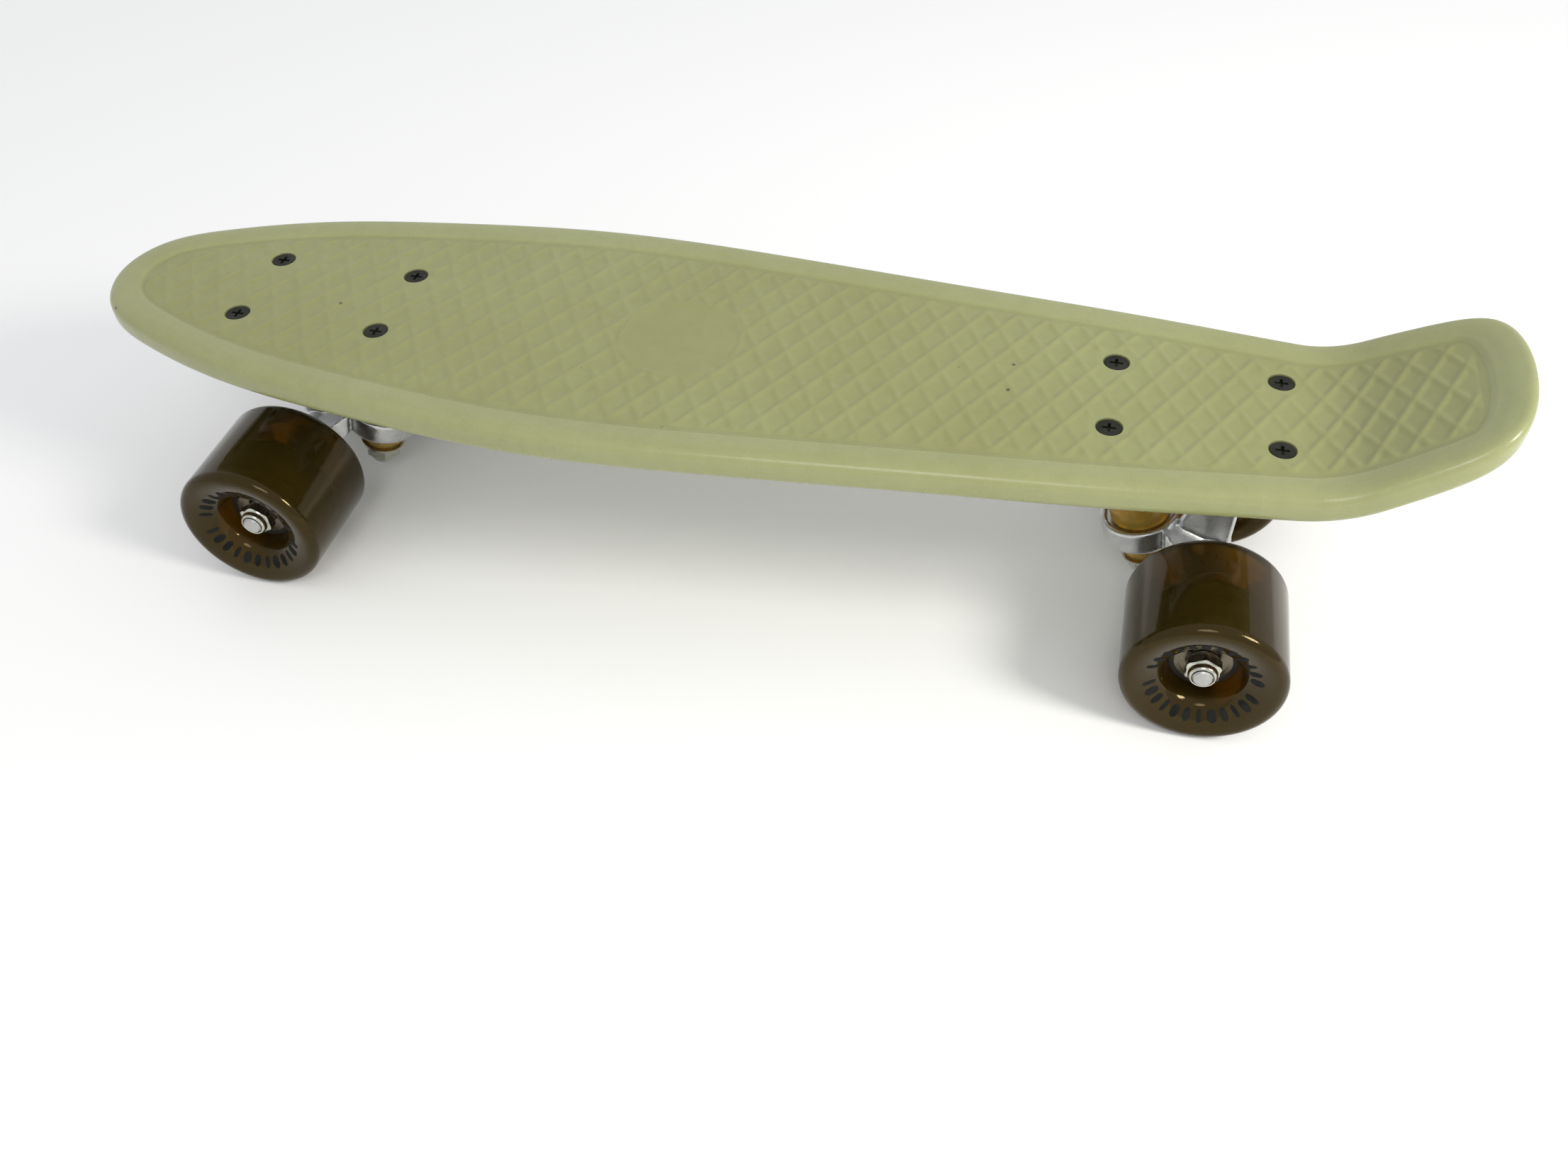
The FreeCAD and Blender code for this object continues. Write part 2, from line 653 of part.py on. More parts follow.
# ---------------------------------------------------------------- assembly
def build():
    nodes = {"deck": make_deck(), "mount_bolts": all_bolts(make_bolt()), "mount_nuts": all_bolts(make_bolt_nut())}
    truck = {"baseplate": make_baseplate(), "pivot_cup": make_pivot_cup(), "kingpin": make_kingpin(),
             "kingpin_nut": make_kingpin_nut(), "cup_washers": make_cup_washers(),
             "upper_bushing": make_upper_bushing(), "lower_bushing": make_lower_bushing(),
             "hanger": make_hanger(), "axle": make_axle()}
    per_wheel = {"wheel": make_wheel(), "wheel_core": make_core(), "outer_races": make_outer_races(),
                 "bearing_shields": make_shields(), "bearing_balls": make_balls(), "bearing_cages": make_cages()}
    per_axle = {"inner_races": make_inner_races(), "bearing_spacers": make_spacer(),
                "speed_washers": make_speed_washers(), "axle_nuts": make_axle_nut()}
    for end in ("front", "rear"):
        for name, shape in truck.items():
            nodes[f"{end}_{name}"] = at_truck(shape, end)
        for name, shape in per_axle.items():
            both = [at_wheel(shape, end, side) for side in ("left", "right")]
            nodes[f"{end}_{name}"] = Part.makeCompound(both)
        for side in ("left", "right"):
            for name, shape in per_wheel.items():
                nodes[f"{end}_{side}_{name}"] = at_wheel(shape, end, side)
    return nodes


def main():
    os.makedirs("parts", exist_ok=True)
    for name, shape in build().items():
        solids = solids_of(shape)
        whole = solids[0] if len(solids) == 1 else Part.makeCompound(solids)
        whole.exportStep(f"parts/{name}.step")
        volume = sum(s.Volume for s in solids)
        print(f"{name}: {len(solids)} solids, {volume / 1000:.2f} cm3, valid {all(s.isValid() for s in solids)}")


main()
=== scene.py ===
import math

import bmesh
import bpy
import numpy as np
from mathutils import Matrix, Vector


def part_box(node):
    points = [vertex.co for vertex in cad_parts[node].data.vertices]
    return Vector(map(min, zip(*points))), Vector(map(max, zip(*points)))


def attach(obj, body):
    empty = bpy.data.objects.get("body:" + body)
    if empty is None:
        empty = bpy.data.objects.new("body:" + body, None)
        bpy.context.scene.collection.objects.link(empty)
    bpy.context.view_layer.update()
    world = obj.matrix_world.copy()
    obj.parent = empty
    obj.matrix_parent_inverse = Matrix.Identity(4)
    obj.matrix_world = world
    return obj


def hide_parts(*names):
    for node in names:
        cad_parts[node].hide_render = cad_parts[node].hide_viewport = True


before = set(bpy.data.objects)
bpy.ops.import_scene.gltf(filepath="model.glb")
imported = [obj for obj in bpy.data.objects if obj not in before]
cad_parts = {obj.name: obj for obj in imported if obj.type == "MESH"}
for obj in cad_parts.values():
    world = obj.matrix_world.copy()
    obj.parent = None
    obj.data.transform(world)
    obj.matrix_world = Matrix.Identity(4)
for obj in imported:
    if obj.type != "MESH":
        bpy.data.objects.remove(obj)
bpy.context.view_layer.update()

MM = 0.001
ENDS = ("front", "rear")
SIDES = ("left", "right")

# ---------------------------------------------------------------- sizes in millimetres
deck_low, deck_high = [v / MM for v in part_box("deck")]
deck_length = deck_high.x - deck_low.x
deck_width = 147.0
panel_z = 102.0
rim_rise = 1.2
rim_width = 14.0
rim_round = 4.4
edge_thickness = 12.6
floor_depth = 6.0
under_rim_width = 13.2
hollow_nose_x, hollow_tail_x = -262.0, 212.0
tail_bend_x, tail_bend_radius, tail_angle = 215.0, 47.0, math.radians(31.0)
# plan outline from nose to tail, in shares of half the deck's length and width
OUTLINE = [(-0.969, 0.331), (-0.887, 0.541), (-0.752, 0.736), (-0.545, 0.891), (-0.281, 0.993),
           (-0.019, 0.953), (0.310, 0.841), (0.572, 0.748), (0.772, 0.656), (0.897, 0.601),
           (0.965, 0.501), (0.996, 0.216)]
ROUNDING = (0, 15, 30, 45, 60, 75, 90)  # degrees of the rings round the rim's edges
rim_crown = 0.25
shoulder_start, shoulder_length = 2.0, 2.6  # slope from the rim down to the panel
panel_margin = 1.8  # flat ring between the rim and the panel's middle
ridge_pitch, ridge_width, ridge_height, ridge_angle = 11.0, 4.4, 0.68, math.radians(60.0)
second_ridge_share = 0.8  # height of the ridges that lean the other way
skin_height = 0.06  # of the lattice's floor over the panel
skin_edge, skin_sunk = 0.05, -0.15  # width and height of the skin's sunk edge
skin_foot = -1.2  # height of its underside
medallion_x, medallion_radius, medallion_border, medallion_rise = -30.0, 25.0, 2.8, 0.45
rim_fade, bolt_fade, medallion_fade = (0.4, 3.4), (-1.2, 1.8), (-0.5, 2.5)  # where the ridges fade out
truck_x = {"front": -188.0, "rear": 177.0}
bolt_half_x, bolt_half_y = 63.5 / 2, 41.3 / 2
bolt_head_radius, bolt_shank_radius, bolt_sink, bolt_head_depth = 5.05, 2.7, 0.3, 2.6
bolt_pad_radius = 8.0
mouth_depth, mouth_width, mouth_flare = 0.25, 0.3, 0.5  # softened edge of a bolt hole
cutter_reach = 1.0  # of the hole's cutter past the hole, at both ends
axis_gap = 0.001  # keeps a turned cutter's ends off its axis
BOLTS = [(x + sx * bolt_half_x, sy * bolt_half_y)
         for x in truck_x.values() for sx in (-1, 1) for sy in (-1, 1)]
pad_half_length, pad_half_width, pad_corner, pad_soft = 46.0, 31.0, 8.0, 1.2
rib_places, rib_half_width, rib_corner, rib_soft = (-18.0, 0.0, 18.0), 1.5, 1.4, 0.6
underside_overlap, rib_overlap = 0.5, 1  # of pads and ribs with the deck, and of ribs with pads
nut_flats, nut_height, washer_thickness, nut_bore = 13.0, 7.6, 1.0, 3.9
NUT_STEPS = 72
mark_inner, mark_outer, mark_count, mark_gap = 17.3, 22.3, 26, 13  # every mark_gap-th bar is left out
MARK_WIDTHS = (3.3, 1.9, 2.7)
floor_half = 12.0  # metres
camera_place, camera_angles = (125.1, -441.5, 436.8), (14.472, 46.075, -1.558)
camera_sensor, camera_lens = 36.0, 31.56


# ---------------------------------------------------------------- materials
def add(tree, kind, **settings):
    node = tree.nodes.new(kind)
    for name, value in settings.items():
        setattr(node, name, value)
    return node


def material(name, colour, roughness=0.5, metallic=0.0, **sockets):
    """A Principled material. sockets are the shader's own inputs, by name with _ for a space."""
    made = bpy.data.materials.new(name)
    made.use_nodes = True
    shader = made.node_tree.nodes["Principled BSDF"]
    shader.inputs["Base Color"].default_value = (*colour, 1.0)
    shader.inputs["Roughness"].default_value = roughness
    shader.inputs["Metallic"].default_value = metallic
    for key, value in sockets.items():
        shader.inputs[key.replace("_", " ")].default_value = value
    return made


def coordinates(tree, stretch=(1, 1, 1)):
    place = add(tree, "ShaderNodeTexCoord")
    mapping = add(tree, "ShaderNodeMapping")
    mapping.inputs["Scale"].default_value = stretch
    tree.links.new(place.outputs["Object"], mapping.inputs["Vector"])
    return mapping.outputs["Vector"]


def noise(tree, scale, detail=3.0, rough=0.55, stretch=(1, 1, 1)):
    """Noise from 0 to 1, with about scale features to the metre."""
    node = add(tree, "ShaderNodeTexNoise")
    node.inputs["Scale"].default_value = scale
    node.inputs["Detail"].default_value = detail
    node.inputs["Roughness"].default_value = rough
    tree.links.new(coordinates(tree, stretch), node.inputs["Vector"])
    return node.outputs["Fac"]


def spread(tree, value, low, high, to_low, to_high):
    """Maps a value's range from low..high to to_low..to_high, held at both ends."""
    node = add(tree, "ShaderNodeMapRange")
    node.inputs["From Min"].default_value = low
    node.inputs["From Max"].default_value = high
    node.inputs["To Min"].default_value = to_low
    node.inputs["To Max"].default_value = to_high
    tree.links.new(value, node.inputs["Value"])
    return node.outputs["Result"]


def mixed(tree, factor, first, second):
    """Colour between two, each a colour or a socket."""
    node = add(tree, "ShaderNodeMix", data_type="RGBA")
    tree.links.new(factor, node.inputs["Factor"])
    sockets = [s for s in node.inputs if s.type == "RGBA"]
    for socket, value in zip(sockets, (first, second)):
        if isinstance(value, tuple):
            socket.default_value = (*value, 1.0)
        else:
            tree.links.new(value, socket)
    return [s for s in node.outputs if s.type == "RGBA"][0]


def bump(made, height, strength, distance):
    """Feeds a height socket to a material's normal; distance is in metres."""
    tree = made.node_tree
    node = add(tree, "ShaderNodeBump")
    node.inputs["Strength"].default_value = strength
    node.inputs["Distance"].default_value = distance
    tree.links.new(height, node.inputs["Height"])
    tree.links.new(node.outputs["Normal"], tree.nodes["Principled BSDF"].inputs["Normal"])


def drive(made, socket, output):
    """Feeds an output to a shader input of a material."""
    tree = made.node_tree
    tree.links.new(output, tree.nodes["Principled BSDF"].inputs[socket])


def specks(tree, scale, share, size):
    """1 inside sparse small spots, 0 elsewhere: share of the cells hold one."""
    cells = add(tree, "ShaderNodeTexVoronoi")
    cells.inputs["Scale"].default_value = scale
    tree.links.new(coordinates(tree), cells.inputs["Vector"])
    near = spread(tree, cells.outputs["Distance"], size * 0.5, size, 1.0, 0.0)
    split = add(tree, "ShaderNodeSeparateColor")
    tree.links.new(cells.outputs["Color"], split.inputs["Color"])
    chosen = spread(tree, split.outputs["Red"], share, share + 0.02, 1.0, 0.0)
    both = add(tree, "ShaderNodeMath", operation="MULTIPLY")
    tree.links.new(near, both.inputs[0])
    tree.links.new(chosen, both.inputs[1])
    return both.outputs["Value"]


def deck_plastic(name, pale, deep, roughness):
    made = material(name, pale, roughness, Subsurface_Weight=0.25, Subsurface_Scale=0.004, IOR=1.47)
    made.node_tree.nodes["Principled BSDF"].inputs["Subsurface Radius"].default_value = (1.0, 0.9, 0.45)
    tree = made.node_tree
    broad = spread(tree, noise(tree, 9.0, 3.0), 0.35, 0.68, 0.0, 1.0)
    fine = spread(tree, noise(tree, 160.0, 4.0, 0.6), 0.4, 0.75, 0.0, 0.35)
    colour = mixed(tree, broad, pale, deep)
    colour = mixed(tree, fine, colour, tuple(0.86 * c for c in deep))
    colour = mixed(tree, specks(tree, 95.0, 0.05, 0.10), colour, (0.10, 0.07, 0.03))
    drive(made, "Base Color", colour)
    wear = noise(tree, 60.0, 5.0, 0.65)
    drive(made, "Roughness", spread(tree, wear, 0.3, 0.7, roughness - 0.07, roughness + 0.1))
    bump(made, noise(tree, 900.0, 3.0, 0.6), 0.12, 0.0004)
    return made


def cast_metal(name, colour, roughness):
    made = material(name, colour, roughness, 1.0)
    tree = made.node_tree
    patches = spread(tree, noise(tree, 70.0, 4.0, 0.6), 0.35, 0.7, 0.0, 1.0)
    drive(made, "Base Color", mixed(tree, patches, colour, tuple(c * 0.72 for c in colour)))
    wear = noise(tree, 240.0, 5.0, 0.6)
    drive(made, "Roughness", spread(tree, wear, 0.3, 0.7, roughness - 0.08, roughness + 0.14))
    bump(made, noise(tree, 900.0, 4.0, 0.65), 0.35, 0.0003)
    return made


def bright_steel(name, colour, roughness, grain=(1, 1, 1)):
    made = material(name, colour, roughness, 1.0)
    tree = made.node_tree
    streaks = noise(tree, 420.0, 4.0, 0.6, grain)
    drive(made, "Roughness", spread(tree, streaks, 0.3, 0.7, roughness - 0.06, roughness + 0.1))
    tint = spread(tree, noise(tree, 120.0, 3.0), 0.35, 0.7, 0.0, 1.0)
    drive(made, "Base Color", mixed(tree, tint, colour, tuple(c * 0.8 for c in colour)))
    bump(made, streaks, 0.12, 0.0001)
    return made


def dark_moulding(name, colour, roughness, grain_scale=700.0):
    made = material(name, colour, roughness, Specular_IOR_Level=0.2)
    tree = made.node_tree
    worn = spread(tree, noise(tree, 90.0, 4.0, 0.6), 0.4, 0.75, 0.0, 1.0)
    drive(made, "Base Color", mixed(tree, worn, colour, tuple(min(1.0, c * 1.7 + 0.01) for c in colour)))
    drive(made, "Roughness", spread(tree, noise(tree, 200.0), 0.3, 0.7, roughness - 0.08, roughness + 0.1))
    bump(made, noise(tree, grain_scale, 3.0), 0.2, 0.0002)
    return made


def cast_urethane(name, colour, absorbing, density, roughness, clear):
    """Clear cast urethane: light passes through and is tinted by the depth it crosses."""
    made = material(name, colour, roughness, Transmission_Weight=clear, IOR=1.42, Specular_IOR_Level=0.14)
    made.node_tree.nodes["Principled BSDF"].inputs["Specular Tint"].default_value = (1.0, 0.80, 0.45, 1.0)
    tree = made.node_tree
    depth = add(tree, "ShaderNodeVolumeAbsorption")
    depth.inputs["Color"].default_value = (*absorbing, 1.0)
    depth.inputs["Density"].default_value = density
    tree.links.new(depth.outputs["Volume"], tree.nodes["Material Output"].inputs["Volume"])
    scuffs = spread(tree, noise(tree, 55.0, 5.0, 0.65), 0.4, 0.72, roughness, roughness + 0.1)
    drive(made, "Roughness", scuffs)
    cloud = spread(tree, noise(tree, 45.0, 3.0), 0.3, 0.7, 0.0, 1.0)
    drive(made, "Base Color", mixed(tree, cloud, colour, tuple(c * 0.8 for c in colour)))
    bump(made, noise(tree, 500.0, 3.0), 0.08, 0.0002)
    return made


panel_plastic = deck_plastic(
    "panel_plastic", pale=(0.276, 0.290, 0.122), deep=(0.252, 0.258, 0.100), roughness=0.38)
# Painted light: the rim gets a paler copy of the same deck plastic, standing in for the light that catches
# its rounded top
rim_plastic_painted_lighter = deck_plastic(
    "rim_plastic_painted_lighter", pale=(0.305, 0.322, 0.150), deep=(0.280, 0.292, 0.126), roughness=0.24)
under_plastic = deck_plastic(
    "under_plastic", pale=(0.290, 0.300, 0.135), deep=(0.265, 0.270, 0.112), roughness=0.40)
aluminium = cast_metal("cast_aluminium", (0.70, 0.71, 0.71), roughness=0.32)
zinc = bright_steel("zinc_plate", (0.56, 0.56, 0.49), roughness=0.22)
axle_steel = bright_steel("axle_steel", (0.50, 0.50, 0.48), roughness=0.36, grain=(1, 8, 1))
bearing_steel = bright_steel("bearing_steel", (0.17, 0.15, 0.11), roughness=0.24)
black_steel = dark_moulding("black_oxide_steel", (0.010, 0.010, 0.006), roughness=0.46)
black_steel.node_tree.nodes["Principled BSDF"].inputs["Metallic"].default_value = 0.15
core_plastic = dark_moulding("core_plastic", (0.012, 0.010, 0.007), roughness=0.45)
cage_plastic = dark_moulding("cage_plastic", (0.30, 0.22, 0.10), roughness=0.45)
pivot_rubber = dark_moulding("pivot_rubber", (0.02, 0.02, 0.02), roughness=0.6)
ink = dark_moulding("printed_ink", (0.003, 0.003, 0.002), roughness=0.75)
wheel_urethane = cast_urethane(
    "wheel_urethane", colour=(0.27, 0.17, 0.022), absorbing=(0.62, 0.46, 0.06), density=200.0,
    roughness=0.06, clear=0.93)
bushing_urethane = cast_urethane(
    "bushing_urethane", colour=(0.85, 0.60, 0.12), absorbing=(0.96, 0.74, 0.10), density=80.0,
    roughness=0.2, clear=0.75)


# ---------------------------------------------------------------- mesh helpers
def piece_from(name, points, faces, made, body, sharp=None, face_slots=None, extra=()):
    """A shown piece from points in millimetres, smooth except at edges sharper than sharp degrees."""
    mesh = bpy.data.meshes.new(name)
    mesh.from_pydata([Vector(p) * MM for p in points], [], faces)
    for one in (made, *extra):
        mesh.materials.append(one)
    if face_slots is not None:
        mesh.polygons.foreach_set("material_index", face_slots)
    mesh.polygons.foreach_set("use_smooth", [True] * len(mesh.polygons))
    mesh.update()
    clean = bmesh.new()
    clean.from_mesh(mesh)
    bmesh.ops.recalc_face_normals(clean, faces=clean.faces)
    clean.to_mesh(mesh)
    clean.free()
    if sharp is not None:
        mesh.set_sharp_from_angle(angle=math.radians(sharp))
    made_object = bpy.data.objects.new(name, mesh)
    bpy.context.scene.collection.objects.link(made_object)
    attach(made_object, body)
    return made_object


def lathe_mesh(profile, place, segments=96):
    """Points and faces of a closed (radius, along) profile turned about a line; place maps (a, b, along)."""
    points, faces = [], []
    count = len(profile)
    for k in range(segments):
        turn = 2 * math.pi * k / segments
        for radius, along in profile:
            points.append(place(radius * math.cos(turn), radius * math.sin(turn), along))
    for k in range(segments):
        after = (k + 1) % segments
        for i in range(count):
            j = (i + 1) % count
            faces.append((k * count + i, k * count + j, after * count + j, after * count + i))
    return points, faces


def arc_points(centre, radius, start, end, steps):
    angles = [math.radians(start + (end - start) * i / steps) for i in range(steps + 1)]
    return [(centre[0] + radius * math.cos(a), centre[1] + radius * math.sin(a)) for a in angles]


def join_parts(parts):
    """Several (points, faces) as one."""
    points, faces = [], []
    for some_points, some_faces in parts:
        shift = len(points)
        points += some_points
        faces += [tuple(i + shift for i in face) for face in some_faces]
    return points, faces


def smoothstep(value, low, high):
    t = np.clip((value - low) / (high - low), 0.0, 1.0)
    return t * t * (3 - 2 * t)


# ---------------------------------------------------------------- deck surface
def outline_half(stations):
    """The deck's plan outline from nose to tail on its +Y side: points and outward normals, evenly spaced.

    It is a closed cubic spline through OUTLINE, both tips and the mirror images.
    """
    half = [(-deck_length / 2, 0.0)] + [(a * deck_length / 2, b * deck_width / 2) for a, b in OUTLINE]
    half.append((deck_length / 2, 0.0))
    loop = np.array(half + [(x, -y) for x, y in reversed(half[1:-1])])
    count = len(loop)
    step = np.linalg.norm(np.roll(loop, -1, 0) - loop, axis=1)
    before = np.roll(step, 1)
    matrix = np.zeros((count, count))
    for i in range(count):
        matrix[i, i] = 2 * (before[i] + step[i])
        matrix[i, (i - 1) % count] = before[i]
        matrix[i, (i + 1) % count] = step[i]
    slope = (np.roll(loop, -1, 0) - loop) / step[:, None]
    bend = np.linalg.solve(matrix, 6 * (slope - np.roll(slope, 1, 0)))
    dense = []
    for i in range(len(half) - 1):
        j = (i + 1) % count
        for t in np.linspace(0, 1, 80, endpoint=False):
            a, b = 1 - t, t
            curve = a * loop[i] + b * loop[j]
            curve = curve + step[i] ** 2 / 6 * ((a**3 - a) * bend[i] + (b**3 - b) * bend[j])
            dense.append(curve)
    dense.append(loop[len(half) - 1])
    dense = np.array(dense)
    along = np.r_[0, np.cumsum(np.linalg.norm(np.diff(dense, axis=0), axis=1))]
    wanted = np.linspace(0, along[-1], stations)
    points = np.stack([np.interp(wanted, along, dense[:, k]) for k in (0, 1)], 1)
    tangent = np.gradient(points, axis=0)
    tangent[0], tangent[-1] = (0, 1), (0, -1)
    tangent /= np.linalg.norm(tangent, axis=1)[:, None]
    return points, np.stack([-tangent[:, 1], tangent[:, 0]], 1)


def level_z(x, height):
    """Height over the ground, at plan x, of the surface that lies height above the panel."""
    radius = tail_bend_radius - height
    end_x = tail_bend_x + radius * math.sin(tail_angle)
    end_z = panel_z + tail_bend_radius - radius * math.cos(tail_angle)
    if x <= tail_bend_x:
        return panel_z + height
    if x <= end_x:
        return panel_z + tail_bend_radius - math.sqrt(radius**2 - (x - tail_bend_x) ** 2)
    return end_z + (x - end_x) * math.tan(tail_angle)


def unrolled(along, height):
    """Point of the side view at a distance along the panel's surface, height above it."""
    if along <= tail_bend_x:
        return along, panel_z + height
    turn = min((along - tail_bend_x) / tail_bend_radius, tail_angle)
    radius = tail_bend_radius - height
    rest = along - tail_bend_x - tail_bend_radius * turn
    x = tail_bend_x + radius * math.sin(turn) + rest * math.cos(turn)
    return x, panel_z + tail_bend_radius - radius * math.cos(turn) + rest * math.sin(turn)


def top_rings():
    """(inset, height) of the rings from the deck's side wall in to the panel."""
    rings = []
    for degrees in ROUNDING:
        a = math.radians(degrees)
        rings.append((rim_round * (1 - math.cos(a)), rim_rise - rim_round * (1 - math.sin(a))))
    for inset in (5.6, 7.2, 9.0, 10.6, 11.8):
        t = (inset - rim_round) / (rim_width - shoulder_start - rim_round)
        rings.append((inset, rim_rise + rim_crown * math.sin(math.pi * min(1, t * 1.2)) - 0.3 * t * t))
    start = rings[-1][1]
    for k in range(1, 9):
        t = k / 8
        inset = rim_width - shoulder_start + shoulder_length * t
        rings.append((inset, start * (1 - float(smoothstep(t, 0.0, 1.0)))))
    rings.append((rim_width + panel_margin, 0.0))
    return rings


def bottom_rings():
    """The same underneath, with how much of the hollow's depth each ring has."""
    low = rim_rise - edge_thickness
    rings = []
    for degrees in ROUNDING:
        a = math.radians(degrees)
        rings.append((rim_round * (1 - math.cos(a)), low + rim_round * (1 - math.sin(a)), 0.0))
    wall = under_rim_width
    for inset, share in ((7.0, 0), (10.0, 0), (wall - 0.6, 0), (wall - 0.2, 0.06), (wall, 0.3),
                         (wall + 0.1, 0.7), (wall + 0.4, 0.94), (wall + 1.0, 1.0),
                         (rim_width + panel_margin, 1.0)):
        rings.append((inset, low, share))
    return rings


def make_deck_shell():
    """The deck in its CAD piece's place: rings round the rim, filled above and below."""
    stations, across = 330, 26
    edge, normal = outline_half(stations)
    points, faces, slots = [], [], []

    def ring(inset, height_at):
        inner = edge - normal * inset
        inner[:, 0] = np.maximum.accumulate(inner[:, 0])
        start = len(points)
        for x, y in inner:
            points.append((x, max(y, 0.0), height_at(x)))
        for x, y in inner[-2:0:-1]:
            points.append((x, -max(y, 0.0), height_at(x)))
        return start

    def band(first, second, slot):
        count = 2 * (stations - 1)
        for k in range(count):
            j = (k + 1) % count
            faces.append((first + k, first + j, second + j, second + k))
            slots.append(slot)

    def fill(start, height_at, slot):
        count = 2 * (stations - 1)
        rows = [[start]]
        for i in range(1, stations - 1):
            upper, lower = start + i, start + count - i
            x, y = points[upper][:2]
            row = [upper]
            for j in range(1, across):
                points.append((x, y * (1 - 2 * j / across), height_at(x)))
                row.append(len(points) - 1)
            rows.append(row + [lower])
        rows.append([start + stations - 1])
        for a, b in zip(rows, rows[1:]):
            for j in range(across):
                corners = [a[min(j, len(a) - 1)], a[min(j + 1, len(a) - 1)],
                           b[min(j + 1, len(b) - 1)], b[min(j, len(b) - 1)]]
                unique = list(dict.fromkeys(corners))
                if len(unique) > 2:
                    faces.append(tuple(unique))
                    slots.append(slot)

    def hollow(x):
        inside = smoothstep(x, hollow_nose_x - 1, hollow_nose_x + 1)
        return float(inside * (1 - smoothstep(x, hollow_tail_x - 1, hollow_tail_x + 1)))

    low = rim_rise - edge_thickness
    rise = -floor_depth - low
    upper_rings = top_rings()
    tops = [ring(inset, lambda x, h=height: level_z(x, h)) for inset, height in upper_rings]
    bottoms = [ring(inset, lambda x, h=height, s=share: level_z(x, h + s * rise * hollow(x)))
               for inset, height, share in bottom_rings()]
    band(tops[0], bottoms[0], 1)
    for k, (a, b) in enumerate(zip(tops, tops[1:])):
        band(a, b, 1 if upper_rings[k][0] < rim_width - 0.2 else 0)
    for a, b in zip(bottoms, bottoms[1:]):
        band(a, b, 1 if b in bottoms[1:len(ROUNDING)] else 2)
    fill(tops[-1], lambda x: level_z(x, 0.0), 0)
    fill(bottoms[-1], lambda x: level_z(x, low + rise * hollow(x)), 2)
    # slot 1, the rim, takes the paler copy of the plastic that paints the light on the rim
    shell = piece_from("deck_shell", points, faces, panel_plastic, "board", 50, slots,
                       (rim_plastic_painted_lighter, under_plastic))
    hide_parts("deck")
    cut_bolt_holes(shell, 50)


def cut_bolt_holes(shell, sharp):
    """Countersinks for the eight truck bolts, with a softened mouth."""
    top, seat = panel_z - bolt_sink, panel_z - bolt_sink - bolt_head_depth
    low, high = seat - cutter_reach, panel_z + cutter_reach
    profile = [(axis_gap, low), (bolt_shank_radius, low), (bolt_shank_radius, seat),
               (bolt_head_radius, top), (bolt_head_radius, panel_z - mouth_depth),
               (bolt_head_radius + mouth_width, panel_z), (bolt_head_radius + mouth_flare, high),
               (axis_gap, high)]
    parts = [lathe_mesh(profile, lambda a, b, z, x=x, y=y: (x + a, y + b, z), 64) for x, y in BOLTS]
    points, faces = join_parts(parts)
    mesh = bpy.data.meshes.new("bolt_cutters")
    mesh.from_pydata([Vector(p) * MM for p in points], [], faces)
    welded = bmesh.new()
    welded.from_mesh(mesh)
    bmesh.ops.remove_doubles(welded, verts=welded.verts, dist=0.00001)
    bmesh.ops.recalc_face_normals(welded, faces=welded.faces)
    welded.to_mesh(mesh)
    welded.free()
    cutter = bpy.data.objects.new("bolt_cutters", mesh)
    bpy.context.scene.collection.objects.link(cutter)
    holes = shell.modifiers.new("bolt_holes", "BOOLEAN")
    holes.operation = "DIFFERENCE"
    holes.solver = "EXACT"
    holes.object = cutter
    bpy.context.view_layer.update()
    result = bpy.data.meshes.new_from_object(shell.evaluated_get(bpy.context.evaluated_depsgraph_get()))
    shell.modifiers.clear()
    shell.data = result
    result.set_sharp_from_angle(angle=math.radians(sharp))
    bpy.data.objects.remove(cutter)


# ---------------------------------------------------------------- raised lattice on the panel
def half_width(x, inset):
    """Half the width at each x of the deck's plan outline, inset, and the x of the inset outline's ends."""
    edge, normal = outline_half(700)
    inner = edge - normal * inset
    inner = inner[(inner[:, 1] > 0) & np.r_[True, np.diff(inner[:, 0]) > 0]]
    return np.interp(x, inner[:, 0], inner[:, 1], left=0.0, right=0.0), inner[0, 0], inner[-1, 0]


def lattice_height(x, y, rim_gap):
    """Height over the panel of its lattice and medallion; rim_gap is the distance from the skin's edge."""
    shape = np.zeros_like(x)
    for lean, share in ((ridge_angle, 1.0), (-ridge_angle, second_ridge_share)):
        turns = ((x - medallion_x) * math.sin(lean) - y * math.cos(lean)) / ridge_pitch
        away = np.abs(turns - np.floor(turns) - 0.5) * ridge_pitch
        ridge = np.cos(np.clip(away / ridge_width, 0, 0.5) * math.pi) ** 2
        shape = np.maximum(shape, share * ridge)
    left = smoothstep(rim_gap, *rim_fade)
    for bolt in BOLTS:
        near, far = [bolt_pad_radius + fade for fade in bolt_fade]
        left = left * smoothstep(np.hypot(x - bolt[0], y - bolt[1]), near, far)
    middle = np.hypot(x - medallion_x, y)
    near, far = [medallion_radius + fade for fade in medallion_fade]
    left = left * smoothstep(middle, near, far)
    border = np.cos(np.clip((middle - medallion_radius) / medallion_border, -0.5, 0.5) * math.pi) ** 2
    rise = skin_height + ridge_height * shape * left + medallion_rise * border
    return np.where(rim_gap < skin_edge, skin_sunk, rise)


